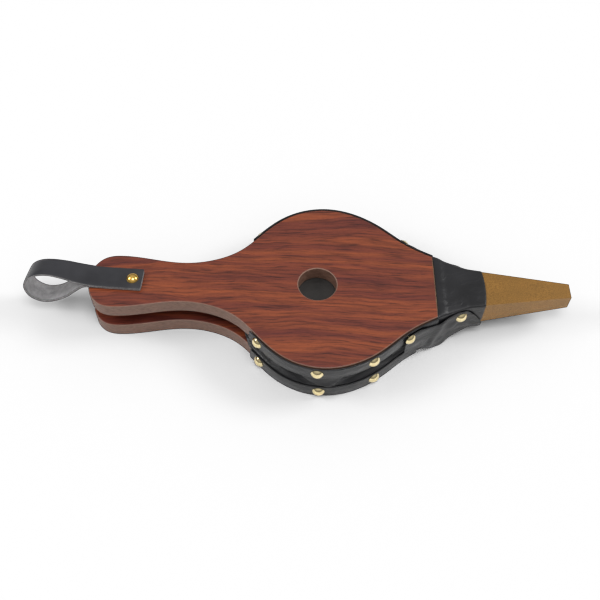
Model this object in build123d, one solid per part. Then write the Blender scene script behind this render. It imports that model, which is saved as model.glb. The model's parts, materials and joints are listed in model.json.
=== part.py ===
from build123d import *
import math
import os

# Hand bellows, closed and lying on its plain board. Millimetres.
# Origin: on the ground, under the centre of the air hole. +X points to the nozzle, +Z up.

os.makedirs("parts", exist_ok=True)

# Boards
BOARD_T = 15.0
GAP = 15.0
FRONT_X = 106.0
ARRIS = 0.9
AIR_HOLE_R = 17.5
HOLE_CHAMFER = 0.7

# Nozzle block: a tongue between the boards, a wedge in front of them and a spigot in the nozzle
TONGUE_X = 84.0
TONGUE_INSET = 4.5
BLOCK_TOP_Z = 43.7
BLOCK_END_X = 136.0
SPIGOT_END_X = 162.0
AIR_BORE_R = 4.0
AIR_BORE_Z = 25.4
RELIEF_X = 112.8
RELIEF_Z = 3.4

# Nozzle: a tapered square tube of folded sheet, whose root shows from ROOT_X on
SHEET_T = 1.0
ROOT_X = 150.0
TIP_X = 229.0
ROOT_HALF_W = 18.5
TIP_HALF_W = 7.3
ROOT_BOTTOM_Z = 16.8
TIP_BOTTOM_Z = 25.6
ROOT_TOP_Z = 42.2
TIP_TOP_Z = 40.6

# Hinge leather, folded once between the tongue and the plain board
HINGE_ROOM = 2.6
HINGE_LEAF_T = 1.2
HINGE_REAR_X = 86.0
HINGE_HALF_W = 30.0
FOLD_ROOM = 1.8
PIVOT_X = FRONT_X + 0.8
PIVOT_Z = BOARD_T + HINGE_ROOM / 2

# Leather skins, by their distance out from the wood
LEATHER_T = 1.2
GUSSET_T = 0.9
GUSSET_FOLD = 3.0
WELT_T = 1.3
WRAP_GAP = 0.1
WRAP_REAR_IN = 3.0
WRAP_CUFF_X = 109.0
SWING_TOP_X = 107.6
SWING_TOP_Z = 17.3
SWING_END_X = 114.2
WRAP_SIDE_END_X = 149.5
WELT_MARGIN = 0.4
GUSSET_END_Z = 0.8
GUSSET_FRONT_X = 104.0
WELT_REAR_X = -58.0
PLAIN_WELT_FRONT_X = 90.0
REAR_WALL_X = -60.0
REAR_WALL_BOW = 9.0
COVER_END_X = 150.5

# Side views of the two skins that close the block, as (x, z) corners
COVER_SIDE = [(106.3, 22), (106.3, 50), (COVER_END_X, 50), (COVER_END_X, 19), (138, 21)]
WRAP_SIDE = [
    (75, 16.5),
    (75, 42.3),
    (88, 42.8),
    (99, 38.5),
    (108, 37.3),
    (117, 41),
    (127, 42.3),
    (135, 39.6),
    (141, 32.7),
    (149.5, 16.5),
    (149.5, -5),
    (108, -5),
    (101, 3.6),
    (89, 13),
    (79, 16),
]

# Domed tacks
TACK_R = 5.5
TACK_H = 3.3
TACK_SHANK_R = 0.9
TACK_LENGTH = 13.0
VALVE_TACK_XS = (-51.0, 0.0, 48.0)
WRAP_TACK_X = 79.0
PLAIN_TACK_XS = (-50.0, 2.0, 50.0)
SIDE_TACK_X = 128.5
SIDE_TACK_Z = 33.0
TACK_LIFT = 0.15
FACE_TACK_X = 119.5
FACE_TACK_Y = 21.0
ROOT_TACK_X = 143.5
ROOT_TACK_LENGTH = 5.6

# Hidden flat-headed nails and wood screws
NAIL_HEAD_R = 2.2
NAIL_HEAD_T = 0.5
NAIL_SHANK_R = 0.6
NAIL_LENGTH = 9.0
HINGE_NAIL_X = 95.0
BOARD_NAIL_YS = (-25.0, -7.0, 7.0, 25.0)
BLOCK_NAIL_YS = (-24.0, 24.0)
NOZZLE_NAIL_X = 143.0
NOZZLE_NAIL_Z = 29.5
SCREW_X = 95.0
SCREW_YS = (-14.0, 14.0)
SCREW_HEAD_R = 3.6
SCREW_SHANK_R = 1.9
SCREW_LENGTH = 24.0
SCREW_SLOT_T = 0.9

# Wrist strap
STRAP_W = 22.0
STRAP_T = 1.8
STRAP_LIFT = 0.3
STRAP_GAP = 0.1
STRAP_SECTIONS = 44
STRAP_TURN = 3.5
STRAP_ROLL = 13.0
STRAP_ROLL_FROM = 40.0
STRAP_ROLL_REACH = 35.0
RIVET_X = -166.0
RIVET_SHANK_R = 1.6
RIVET_LENGTH = 17.0
RIVET_PLAY = 0.05

# Flap valve under the air hole
FLAP_HINGE_X = -28.0
FLAP_FREE_X = 25.0
FLAP_HALF_W = 24.0
FLAP_CORNER_R = 8.0
FLAP_T = 1.6
FLAP_LIFT = 0.2
FLAP_TACK_R = 2.5
FLAP_TACK_H = 0.9
FLAP_TACK_YS = (-16.0, 0.0, 16.0)
ANCHOR_LENGTH = 12.0
ANCHOR_GAP = 0.4

VALVE_Z = BOARD_T + GAP
TOP_Z = VALVE_Z + BOARD_T
TONGUE_Z = BOARD_T + HINGE_ROOM
WELT_IN = GUSSET_T
WELT_OUT = GUSSET_T + WELT_T
WRAP_IN = LEATHER_T + WRAP_GAP
WRAP_OUT = WRAP_IN + LEATHER_T
WRAP_REAR_OUT = WRAP_REAR_IN + LEATHER_T

# Half the width of a cutting box that reaches past the object
FAR = 150.0

# The outline is cut into this many edges. Where it is moved out, it goes through this many stations.
OUTLINE_PARTS = 10
OUTLINE_STATIONS = 80

# One side of the outline, from the middle of the handle's end to the front of the block
SIDE_POINTS = [
    (-205.5, 0),
    (-201.5, 17.5),
    (-193, 25.8),
    (-178, 28.3),
    (-150, 24.8),
    (-121, 21.5),
    (-95, 25.3),
    (-72, 36.3),
    (-50, 58.3),
    (-27, 77.8),
    (6, 87),
    (35, 80.7),
    (57, 67.5),
    (79, 48.9),
    (FRONT_X, 33.2),
    (BLOCK_END_X, 20.6),
]
OTHER_SIDE_POINTS = [(x, -y) for x, y in reversed(SIDE_POINTS[1:])]
OUTLINE = Spline(*OTHER_SIDE_POINTS, *SIDE_POINTS)


def region(x0, x1, z0, z1, half_width=FAR):
    """A box between two stations and two heights, centred on the long axis."""
    return Pos((x0 + x1) / 2, 0, (z0 + z1) / 2) * Box(x1 - x0, 2 * half_width, z1 - z0)


def outward(t):
    """The direction straight out of the outline at a share of its length."""
    tangent = OUTLINE % t
    return Vector(-tangent.Y, tangent.X, 0)


def outline_face(out=0.0):
    """The outline's closed face, moved out by a distance."""
    curve = OUTLINE
    if out:
        shares = [i / OUTLINE_STATIONS for i in range(OUTLINE_STATIONS + 1)]
        curve = Spline(*[(OUTLINE @ t) + outward(t) * out for t in shares])
    cuts = [i / OUTLINE_PARTS for i in range(OUTLINE_PARTS + 1)]
    edges = [curve.trim(start, end) for start, end in zip(cuts, cuts[1:])]
    return make_face(Wire([*edges, Line(curve @ 1, curve @ 0)]))


def slab(z0, z1, out=0.0):
    """The whole outline, moved out by a distance, between two heights."""
    return Pos(0, 0, z0) * extrude(outline_face(out), amount=z1 - z0)


def side_prism(points, half_width=60.0):
    """A shape drawn in side view and carried right across the width."""
    face = make_face(Polyline(*[(x, 0, z) for x, z in points], close=True))
    return extrude(face, amount=half_width, both=True)


def nozzle_size(x, out=0.0):
    """Half width, bottom and top of the nozzle's outside at a station, moved out by a distance."""
    t = (x - ROOT_X) / (TIP_X - ROOT_X)
    half_width = ROOT_HALF_W + t * (TIP_HALF_W - ROOT_HALF_W) + out
    bottom = ROOT_BOTTOM_Z + t * (TIP_BOTTOM_Z - ROOT_BOTTOM_Z) - out
    top = ROOT_TOP_Z + t * (TIP_TOP_Z - ROOT_TOP_Z) + out
    return half_width, bottom, top


def frustum(x0, x1, out=0.0):
    """The nozzle's tapered square form between two stations."""
    sections = []
    for x in (x0, x1):
        half_width, bottom, top = nozzle_size(x, out)
        plane = Plane((x, 0, (bottom + top) / 2), x_dir=(0, 1, 0), z_dir=(1, 0, 0))
        sections.append(plane * Rectangle(2 * half_width, top - bottom))
    return loft(sections, ruled=True)


def block_form(out=0.0):
    """The block's outside in front of the boards, moved out by a distance, up to the nozzle's root."""
    bottom, top = nozzle_size(BLOCK_END_X)[1:]
    wedge = side_prism(
        [
            (FRONT_X, BLOCK_TOP_Z + out),
            (BLOCK_END_X, top + out),
            (BLOCK_END_X, bottom - out),
            (RELIEF_X, RELIEF_Z - out),
            (FRONT_X, RELIEF_Z - out),
        ]
    )
    return wedge & slab(-10, TOP_Z + 10, out)


def outline_station(x, side, z, out=0.0):
    """Frame on the outline's edge where it crosses x: its z axis points straight out of the edge."""
    low, high = 0.5, 1.0
    for _ in range(40):
        middle = (low + high) / 2
        if (OUTLINE @ middle).X < x:
            low = middle
        else:
            high = middle
    normal = outward(low)
    spot = (OUTLINE @ low) + normal * out
    return Plane((spot.X, side * spot.Y, z), x_dir=(0, 0, 1), z_dir=(normal.X, side * normal.Y, 0))


def row(xs, side, z, out):
    """Frames for a row of tacks along one edge, each just proud of the leather."""
    return [outline_station(x, side, z, out + TACK_LIFT) for x in xs]


def face_frame(x, y, z, slope):
    """Frame on the wrap's plain side over a point of the wood or metal under it."""
    down = Vector(math.sin(slope), 0, -math.cos(slope))
    spot = Vector(x, y, z) + down * (WRAP_OUT + TACK_LIFT)
    return Plane(spot, x_dir=(0, 1, 0), z_dir=down)


def pointed_shank(radius, length):
    """A round shank going down from z = 0 to a point."""
    point_h = 2 * radius
    straight = length - point_h
    shank = Pos(0, 0, -straight / 2) * Cylinder(radius, straight)
    return shank + Pos(0, 0, -straight - point_h / 2) * Cone(radius / 6, radius, point_h)


def domed_nail(head_r, head_h, shank_r, length):
    """A nail with a domed head, standing on its head's rim plane with its shank below."""
    ball_r = (head_r**2 + head_h**2) / (2 * head_h)
    ball = Pos(0, 0, head_h - ball_r) * Sphere(ball_r)
    head = ball & (Pos(0, 0, head_h / 2) * Cylinder(head_r + 1, head_h))
    return head + pointed_shank(shank_r, length)


def flat_nail(head_r, head_t, shank_r, length):
    """A nail with a flat head let in flush: its head's outer face is at z = 0."""
    return Pos(0, 0, -head_t / 2) * Cylinder(head_r, head_t) + pointed_shank(shank_r, length)


def countersunk_screw(head_r, shank_r, length):
    """A wood screw with its flat head's face at z = 0."""
    head_h = head_r - shank_r
    head = Pos(0, 0, -head_h / 2) * Cone(shank_r, head_r, head_h)
    shank = Pos(0, 0, -(length - shank_r) / 2) * Cylinder(shank_r, length - shank_r)
    point = Pos(0, 0, -length + shank_r / 2) * Cone(0.2, shank_r, shank_r)
    return head + shank + point


def write(node, *solids):
    """One STEP file for a sub-part, of one solid or a group of them."""
    shape = solids[0] if len(solids) == 1 else Compound(children=list(solids))
    export_step(shape, f"parts/{node}.step")


def placed(frames, thing):
    """Copies of one thing, one in each frame."""
    return [frame * thing for frame in frames]


def cut_all(body, tools):
    """The body less every tool, one after another."""
    for tool in tools:
        body = body - tool
    return body


# Where the domed tacks stand: frames whose z axis points out of the head
valve_tack_z = VALVE_Z + BOARD_T / 2
plain_tack_z = BOARD_T / 2

valve_frames = {}
plain_frames = {}
side_frames = []
for name, side in (("left", 1), ("right", -1)):
    wrap_corner = row((WRAP_TACK_X,), side, valve_tack_z, WRAP_REAR_OUT)
    valve_frames[name] = row(VALVE_TACK_XS, side, valve_tack_z, WELT_OUT) + wrap_corner
    plain_frames[name] = row(PLAIN_TACK_XS, side, plain_tack_z, WELT_OUT)
    side_frames += row((SIDE_TACK_X,), side, SIDE_TACK_Z, WRAP_OUT)

block_slope = math.atan2(nozzle_size(BLOCK_END_X)[1] - RELIEF_Z, BLOCK_END_X - RELIEF_X)
root_slope = math.atan2(TIP_BOTTOM_Z - ROOT_BOTTOM_Z, TIP_X - ROOT_X)
face_z = RELIEF_Z + (FACE_TACK_X - RELIEF_X) * math.tan(block_slope)
face_frames = [face_frame(FACE_TACK_X, y, face_z, block_slope) for y in (FACE_TACK_Y, -FACE_TACK_Y)]
root_frame = face_frame(ROOT_TACK_X, 0, nozzle_size(ROOT_TACK_X)[1], root_slope)

tack = domed_nail(TACK_R, TACK_H, TACK_SHANK_R, TACK_LENGTH)
root_tack = domed_nail(TACK_R, TACK_H, TACK_SHANK_R, ROOT_TACK_LENGTH)
tack_way = pointed_shank(TACK_SHANK_R, TACK_LENGTH)
loose_way = pointed_shank(TACK_SHANK_R + 0.1, TACK_LENGTH + 0.2)

valve_ways = placed(valve_frames["left"] + valve_frames["right"], tack_way)
plain_ways = placed(plain_frames["left"] + plain_frames["right"], tack_way)
block_ways = placed(side_frames + face_frames, tack_way)
block_ways.append(root_frame * pointed_shank(TACK_SHANK_R, ROOT_TACK_LENGTH))

for name in ("left", "right"):
    write(f"valve_board_tacks_{name}", *placed(valve_frames[name], tack))
    write(f"plain_board_tacks_{name}", *placed(plain_frames[name], tack))
write("block_side_tacks", *placed(side_frames, tack))
write("block_face_tacks", *placed(face_frames, tack), root_frame * root_tack)

# Hidden nails and screws
hinge_nail = flat_nail(NAIL_HEAD_R, NAIL_HEAD_T, NAIL_SHANK_R, NAIL_LENGTH)
lower_leaf_z = BOARD_T + HINGE_LEAF_T
upper_leaf_z = TONGUE_Z - HINGE_LEAF_T
board_nails = [Plane((HINGE_NAIL_X, y, lower_leaf_z)) for y in BOARD_NAIL_YS]
block_nails = [
    Plane((HINGE_NAIL_X, y, upper_leaf_z), x_dir=(1, 0, 0), z_dir=(0, 0, -1)) for y in BLOCK_NAIL_YS
]
write("hinge_nails_plain_board", *placed(board_nails, hinge_nail))
write("hinge_nails_block", *placed(block_nails, hinge_nail))

nozzle_half_w = nozzle_size(NOZZLE_NAIL_X)[0]
taper = math.atan2(ROOT_HALF_W - TIP_HALF_W, TIP_X - ROOT_X)
nozzle_nails = [
    Plane(
        (NOZZLE_NAIL_X, side * nozzle_half_w, NOZZLE_NAIL_Z),
        x_dir=(0, 0, 1),
        z_dir=(math.sin(taper), side * math.cos(taper), 0),
    )
    for side in (1, -1)
]
write("nozzle_nails", *placed(nozzle_nails, hinge_nail))

screw_frames = [
    Plane((SCREW_X, y, TONGUE_Z), x_dir=(1, 0, 0), z_dir=(0, 0, -1)) for y in SCREW_YS
]
screw = countersunk_screw(SCREW_HEAD_R, SCREW_SHANK_R, SCREW_LENGTH)
screw_ways = placed(screw_frames, screw)
screw = screw - Pos(0, 0, -SCREW_SLOT_T / 2) * Box(2 * SCREW_HEAD_R, SCREW_SLOT_T, SCREW_SLOT_T)
write("block_screws", *placed(screw_frames, screw))

# Boards: the same outline, the valve board bored for air
board = slab(0, BOARD_T) & region(-300, FRONT_X, -1, BOARD_T + 1)
board = fillet(board.edges().filter_by(Axis.Z, reverse=True), ARRIS)
plain_board = cut_all(board, plain_ways + placed(board_nails, hinge_nail))
write("plain_board", plain_board)

air_hole = Pos(0, 0, BOARD_T / 2) * Cylinder(AIR_HOLE_R, 2 * BOARD_T)
valve_board = Pos(0, 0, VALVE_Z) * (board - air_hole)
circles = valve_board.edges().filter_by(GeomType.CIRCLE)
rims = circles.filter_by(lambda edge: abs(edge.radius - AIR_HOLE_R) < 0.01)
valve_board = chamfer(rims, HOLE_CHAMFER)
flap_tack = domed_nail(FLAP_TACK_R, FLAP_TACK_H, NAIL_SHANK_R, NAIL_LENGTH)
anchor_z = VALVE_Z - FLAP_LIFT - FLAP_T
anchor_mid_x = FLAP_HINGE_X - ANCHOR_GAP - ANCHOR_LENGTH / 2
flap_tack_frames = [
    Plane((anchor_mid_x, y, anchor_z), x_dir=(1, 0, 0), z_dir=(0, 0, -1)) for y in FLAP_TACK_YS
]
flap_ways = placed(flap_tack_frames, pointed_shank(NAIL_SHANK_R, NAIL_LENGTH))
write("flap_tacks", *placed(flap_tack_frames, flap_tack))

rivet_seat_z = TOP_Z + STRAP_LIFT + 2 * STRAP_T + 2 * STRAP_GAP
rivet_frame = Plane((RIVET_X, 0, rivet_seat_z))
write("strap_rivet", rivet_frame * domed_nail(TACK_R, TACK_H, RIVET_SHANK_R, RIVET_LENGTH))
rivet_way = rivet_frame * pointed_shank(RIVET_SHANK_R, RIVET_LENGTH)
valve_board = cut_all(valve_board, valve_ways + screw_ways + flap_ways + [rivet_way])
write("valve_board", valve_board)

# Nozzle block
profile = side_prism(
    [
        (TONGUE_X, TONGUE_Z),
        (PIVOT_X + FOLD_ROOM, TONGUE_Z),
        (RELIEF_X, RELIEF_Z),
        (BLOCK_END_X, nozzle_size(BLOCK_END_X)[1]),
        (BLOCK_END_X, nozzle_size(BLOCK_END_X)[2]),
        (FRONT_X, BLOCK_TOP_Z),
        (FRONT_X, VALVE_Z),
        (TONGUE_X, VALVE_Z),
    ]
)
wedge = profile & slab(-5, TOP_Z + 5) & region(FRONT_X, BLOCK_END_X, -5, TOP_Z + 5)
tongue = profile & slab(-5, TOP_Z + 5, -TONGUE_INSET) & region(TONGUE_X, FRONT_X + 1, -5, VALVE_Z)
spigot = frustum(BLOCK_END_X - 1, SPIGOT_END_X, -SHEET_T)
air_bore_length = SPIGOT_END_X - TONGUE_X + 4
air_bore = Rot(0, 90, 0) * Cylinder(AIR_BORE_R, air_bore_length)
air_bore = Pos((SPIGOT_END_X + TONGUE_X) / 2, 0, AIR_BORE_Z) * air_bore
nail_ways = placed(block_nails + nozzle_nails, hinge_nail)
block = (wedge + tongue + spigot) - air_bore
write("nozzle_block", cut_all(block, block_ways + nail_ways + screw_ways))

# Nozzle
tube = frustum(BLOCK_END_X, TIP_X) - frustum(BLOCK_END_X - 2, TIP_X + 2, -SHEET_T)
write("nozzle", cut_all(tube, block_ways + nail_ways))

# Top cover and outer wrap over the block and the nozzle's root
inner_root = frustum(BLOCK_END_X - 0.5, COVER_END_X + 1)
cover_outside = block_form(LEATHER_T) + frustum(BLOCK_END_X, COVER_END_X, LEATHER_T)
cover = (cover_outside - block_form() - inner_root) & side_prism(COVER_SIDE)
write("top_cover", cut_all(cover, block_ways))

outer_form = block_form(WRAP_OUT) + frustum(BLOCK_END_X, WRAP_SIDE_END_X, WRAP_OUT)
inner_form = block_form(WRAP_IN) + frustum(BLOCK_END_X - 0.5, WRAP_SIDE_END_X + 1, WRAP_IN)
open_rear = slab(-10, PIVOT_Z, WRAP_IN) & region(FRONT_X - 40, RELIEF_X, -10, PIVOT_Z)
front_skin = (outer_form - inner_form - open_rear) & region(WRAP_CUFF_X, WRAP_SIDE_END_X, -5, TOP_Z + 5)
cuff = (slab(0, TOP_Z, WRAP_REAR_OUT) - slab(-1, TOP_Z + 1, WRAP_IN)) & region(
    WRAP_CUFF_X - LEATHER_T, WRAP_CUFF_X + LEATHER_T, 0, TOP_Z
)
rear_skin = (slab(0, TOP_Z, WRAP_REAR_OUT) - slab(-1, TOP_Z + 1, WRAP_REAR_IN)) & region(
    0, WRAP_CUFF_X, 0, TOP_Z
)
# Room for the plain board's end as it swings towards the block
swing_room = side_prism([(90, SWING_TOP_Z), (SWING_TOP_X, SWING_TOP_Z), (SWING_END_X, -1), (90, -1)])
wrap = (front_skin + cuff - swing_room + rear_skin) & side_prism(WRAP_SIDE, 80)
write("outer_wrap", cut_all(wrap, block_ways + valve_ways))

# Gusset leather: a flange on each board's edge, the folded wall between them, the rear wall
flange = slab(GUSSET_END_Z, TOP_Z - GUSSET_END_Z, GUSSET_T) - slab(-1, TOP_Z + 1)
wall = slab(BOARD_T, VALVE_Z, GUSSET_T) - slab(0, TOP_Z, -GUSSET_FOLD)
sides = (flange + wall) & region(REAR_WALL_X, GUSSET_FRONT_X, 0, TOP_Z)
wall_y = outline_station(REAR_WALL_X, 1, 0).origin.Y


def rear_arc(x):
    """The rear wall's line across the neck, bowed towards the handle."""
    return ThreePointArc((x, -wall_y, 0), (x - 1 - REAR_WALL_BOW, 0, 0), (x, wall_y, 0))


outer_arc = rear_arc(REAR_WALL_X + 1)
inner_arc = rear_arc(REAR_WALL_X + 1 + GUSSET_T)
arc_ends = [Line(outer_arc @ end, inner_arc @ end) for end in (0, 1)]
rear_wall = extrude(make_face(Wire([outer_arc, *arc_ends, inner_arc])), amount=GAP)
rear_wall = (Pos(0, 0, BOARD_T) * rear_wall) & slab(0, TOP_Z, GUSSET_T)
loose_ways = placed(
    valve_frames["left"] + valve_frames["right"] + plain_frames["left"] + plain_frames["right"],
    loose_way,
)
write("gusset_leather", cut_all(sides + rear_wall, loose_ways))

# Welts: a strip of leather over the gusset's edge, on each side of each board
welt_ring = slab(0, BOARD_T, WELT_OUT) - slab(-1, BOARD_T + 1, WELT_IN)
for name, side in (("left", 1), ("right", -1)):
    for board_name, z, front_x, ways in (
        ("valve", VALVE_Z, FRONT_X, valve_ways),
        ("plain", 0, PLAIN_WELT_FRONT_X, plain_ways),
    ):
        half = Pos((WELT_REAR_X + front_x) / 2, side * FAR / 2, BOARD_T / 2) * Box(
            front_x - WELT_REAR_X, FAR, BOARD_T - 2 * WELT_MARGIN
        )
        welt = Pos(0, 0, z) * (welt_ring & half)
        write(f"{board_name}_board_welt_{name}", cut_all(welt, ways))

# Hinge leather: two leaves and the fold between them
leaf_length = PIVOT_X - HINGE_REAR_X
fold_r = HINGE_ROOM / 2
lower_leaf = Pos(HINGE_REAR_X + leaf_length / 2, 0, BOARD_T + HINGE_LEAF_T / 2) * Box(
    leaf_length, 2 * HINGE_HALF_W, HINGE_LEAF_T
)
upper_leaf = Pos(0, 0, HINGE_ROOM - HINGE_LEAF_T) * lower_leaf
fold = Pos(PIVOT_X, 0, PIVOT_Z) * Rot(90, 0, 0) * (
    Cylinder(fold_r, 2 * HINGE_HALF_W) - Cylinder(fold_r - HINGE_LEAF_T, 2 * HINGE_HALF_W)
)
fold = fold & region(PIVOT_X, PIVOT_X + 5, 0, VALVE_Z)
nail_room = flat_nail(NAIL_HEAD_R + 0.05, NAIL_HEAD_T + 0.05, NAIL_SHANK_R + 0.05, NAIL_LENGTH + 0.1)
hinge_leather = cut_all(lower_leaf + upper_leaf + fold, placed(board_nails + block_nails, nail_room))
write("hinge_leather", hinge_leather)

# Flap valve: the anchored end and the free leaf that turns down from it
anchor = Pos(anchor_mid_x, 0, anchor_z + FLAP_T / 2) * Box(ANCHOR_LENGTH, 2 * FLAP_HALF_W, FLAP_T)
write("flap_anchor", cut_all(anchor, flap_ways))
flap_length = FLAP_FREE_X - FLAP_HINGE_X
flap = Pos(FLAP_HINGE_X + flap_length / 2, 0, anchor_z + FLAP_T / 2) * Box(
    flap_length, 2 * FLAP_HALF_W, FLAP_T
)
flap = fillet(flap.edges().filter_by(Axis.Z).group_by(Axis.X)[-1], FLAP_CORNER_R)
write("valve_flap", flap)

# Wrist strap: one band whose two ends lie on each other under the rivet. It opens into a drop-shaped
# loop past the board's end. The side view is the band's middle as (distance from the rivet, height).
lower_z = TOP_Z + STRAP_LIFT + STRAP_T / 2
upper_z = lower_z + STRAP_T + STRAP_GAP
STRAP_SIDE = [
    (9, upper_z),
    (0, upper_z),
    (-12, upper_z),
    (-24, upper_z),
    (-35, upper_z + 0.4),
    (-48, upper_z + 3.1),
    (-61, upper_z + 7.2),
    (-73, upper_z + 9.2),
    (-84, upper_z + 7.0),
    (-93, upper_z - 0.2),
    (-98, upper_z - 12),
    (-96, upper_z - 25),
    (-87, upper_z - 32.2),
    (-75, upper_z - 30.2),
    (-62, upper_z - 21.2),
    (-52, upper_z - 10.5),
    (-43, lower_z - 0.6),
    (-35, lower_z + 0.4),
    (-24, lower_z),
    (-12, lower_z),
    (0, lower_z),
    (9, lower_z),
]
strap_line = Spline(*[(x, 0, z) for x, z in STRAP_SIDE])


def strap_section(t):
    """The band's cross-section at a share of its length: level by the rivet, tilted in the loop."""
    point = strap_line @ t
    along = strap_line % t
    loose = min(1.0, max(0.0, -point.X - STRAP_ROLL_FROM) / STRAP_ROLL_REACH)
    roll = math.radians(STRAP_ROLL) * loose**2 * (3 - 2 * loose)
    across = Vector(0, math.cos(roll), -math.sin(roll))
    across = (across - along * across.dot(along)).normalized()
    return Plane(point, x_dir=across, z_dir=along) * Rectangle(STRAP_W, STRAP_T)


strap = loft([strap_section(i / STRAP_SECTIONS) for i in range(STRAP_SECTIONS + 1)], ruled=True)
strap = Pos(RIVET_X, 0, 0) * Rot(0, 0, -STRAP_TURN) * strap
strap_hole = Pos(RIVET_X, 0, TOP_Z) * Cylinder(RIVET_SHANK_R + RIVET_PLAY, 20)
write("wrist_strap", strap - strap_hole)
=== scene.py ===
import json
import math

import bpy
import numpy as np
from mathutils import Matrix, Vector, noise


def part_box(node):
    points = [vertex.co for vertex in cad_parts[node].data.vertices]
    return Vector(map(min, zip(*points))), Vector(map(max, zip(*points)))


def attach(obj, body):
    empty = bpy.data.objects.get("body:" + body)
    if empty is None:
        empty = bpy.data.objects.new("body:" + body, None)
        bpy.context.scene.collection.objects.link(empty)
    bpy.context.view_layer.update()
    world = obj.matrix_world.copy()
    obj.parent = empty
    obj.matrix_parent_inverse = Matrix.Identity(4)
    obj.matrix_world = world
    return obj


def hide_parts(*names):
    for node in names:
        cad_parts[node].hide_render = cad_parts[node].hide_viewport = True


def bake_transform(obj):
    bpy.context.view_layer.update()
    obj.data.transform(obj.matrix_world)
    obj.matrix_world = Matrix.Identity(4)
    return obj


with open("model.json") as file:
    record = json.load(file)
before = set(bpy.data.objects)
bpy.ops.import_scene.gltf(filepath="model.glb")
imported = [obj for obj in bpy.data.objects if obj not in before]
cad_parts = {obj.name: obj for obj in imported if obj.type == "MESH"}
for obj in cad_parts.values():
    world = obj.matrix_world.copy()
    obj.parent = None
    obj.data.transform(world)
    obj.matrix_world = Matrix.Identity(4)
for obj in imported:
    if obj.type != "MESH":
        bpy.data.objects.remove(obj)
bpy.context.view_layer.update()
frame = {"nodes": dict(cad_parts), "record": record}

# Lengths are in millimetres until a mesh is written. The frame is the CAD one: +X to the nozzle,
# +Y to the left, +Z from the plain board up to the valve board.
MM = 0.001

# Boards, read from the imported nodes
ARRIS = 0.9
PLAIN_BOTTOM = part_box("plain_board")[0].z / MM
PLAIN_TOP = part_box("plain_board")[1].z / MM
VALVE_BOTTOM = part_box("valve_board")[0].z / MM
VALVE_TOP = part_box("valve_board")[1].z / MM
BOARD_T = PLAIN_TOP - PLAIN_BOTTOM
FRONT_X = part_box("valve_board")[1].x / MM

# Block and nozzle
BLOCK_TOP = 43.7
BLOCK_END_X = 136.0
RELIEF_X = 112.8
BLOCK_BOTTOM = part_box("nozzle_block")[0].z / MM
ROOT_X = 150.0
TIP_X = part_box("nozzle")[1].x / MM
ROOT_HALF_W = 18.5
TIP_HALF_W = 7.3
ROOT_BOTTOM = 16.8
TIP_BOTTOM = 25.6
ROOT_TOP = 42.2
TIP_TOP = 40.6

# Where the domed tacks stand: stations along each board's edge, and (station, height) on the wrap
VALVE_TACK_XS = (-51.0, 0.0, 48.0, 79.0)
PLAIN_TACK_XS = (-50.0, 2.0, 50.0)
WRAP_TACKS = ((79.0, 37.5), (128.5, 33.0))


def smooth_step(t):
    """0 before 0, 1 after 1, and a smooth rise between."""
    t = np.clip(t, 0.0, 1.0)
    return t * t * (3 - 2 * t)


def hill(distance, reach):
    """1 at no distance, falling smoothly to about nothing past the reach."""
    return math.exp(-((distance / reach) ** 2))


def wander(x, y, z, size, seed=0.0):
    """Smooth random value from -1 to 1 that changes over about the given size."""
    return noise.noise(Vector((x / size + seed, y / size - seed, z / size + 3 * seed)))


# ---------------------------------------------------------------- outline of the wood


def node_points(node):
    """A CAD node's vertices in millimetres."""
    mesh = frame["nodes"][node].data
    points = np.zeros(len(mesh.vertices) * 3, np.float32)
    mesh.vertices.foreach_get("co", points)
    return points.reshape(-1, 3).astype(float) / MM


def nozzle_line(x, root, tip):
    """A size of the nozzle at a station, from its size at the root and at the tip."""
    return root + (x - ROOT_X) / (TIP_X - ROOT_X) * (tip - root)


# The outline is resampled at even steps and smoothed over a few of them, then its ends are trimmed
OUTLINE_STEP = 0.5
SMOOTH_STEPS = 9
SMOOTH_WIDTH = 4.0
TRIM_STEPS = 12


def left_outline():
    """The wood's left edge from the handle's end to the nozzle's root: points and outward directions."""
    board = node_points("plain_board")
    on_rim = (abs(board[:, 2] - PLAIN_BOTTOM - ARRIS) < 0.05) & (board[:, 1] >= 0)
    rim = board[on_rim & (board[:, 0] < FRONT_X - 0.5)][:, :2]
    block = node_points("nozzle_block")
    on_top = (block[:, 2] > ROOT_TOP + 0.1) & (block[:, 1] > TIP_HALF_W)
    shoulder = block[on_top & (block[:, 0] > FRONT_X - 0.1) & (block[:, 0] < BLOCK_END_X + 0.1)][:, :2]
    ends = [(x, nozzle_line(x, ROOT_HALF_W, TIP_HALF_W)) for x in (BLOCK_END_X + 4, ROOT_X, ROOT_X + 8)]
    points = np.vstack([rim, shoulder, ends])
    points = points[np.argsort(points[:, 0], kind="stable")]
    steps = np.hypot(*np.diff(points, axis=0).T)
    points = points[np.concatenate([[True], steps > 0.02])]
    along = np.concatenate([[0], np.cumsum(np.hypot(*np.diff(points, axis=0).T))])
    even = np.arange(0, along[-1], OUTLINE_STEP)
    line = np.stack([np.interp(even, along, points[:, axis]) for axis in (0, 1)], axis=1)
    kernel = np.exp(-(np.arange(-SMOOTH_STEPS, SMOOTH_STEPS + 1) / SMOOTH_WIDTH) ** 2)
    kernel /= kernel.sum()
    padded = np.vstack([np.repeat(line[:1], SMOOTH_STEPS, 0), line, np.repeat(line[-1:], SMOOTH_STEPS, 0)])
    smooth = np.stack([np.convolve(padded[:, axis], kernel, "valid") for axis in (0, 1)], axis=1)
    tangent = np.gradient(smooth, axis=0)
    tangent /= np.linalg.norm(tangent, axis=1)[:, None]
    out = np.stack([-tangent[:, 1], tangent[:, 0]], axis=1)
    keep = slice(TRIM_STEPS, -TRIM_STEPS)
    return smooth[keep], out[keep]


EDGE, EDGE_OUT = left_outline()


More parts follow.
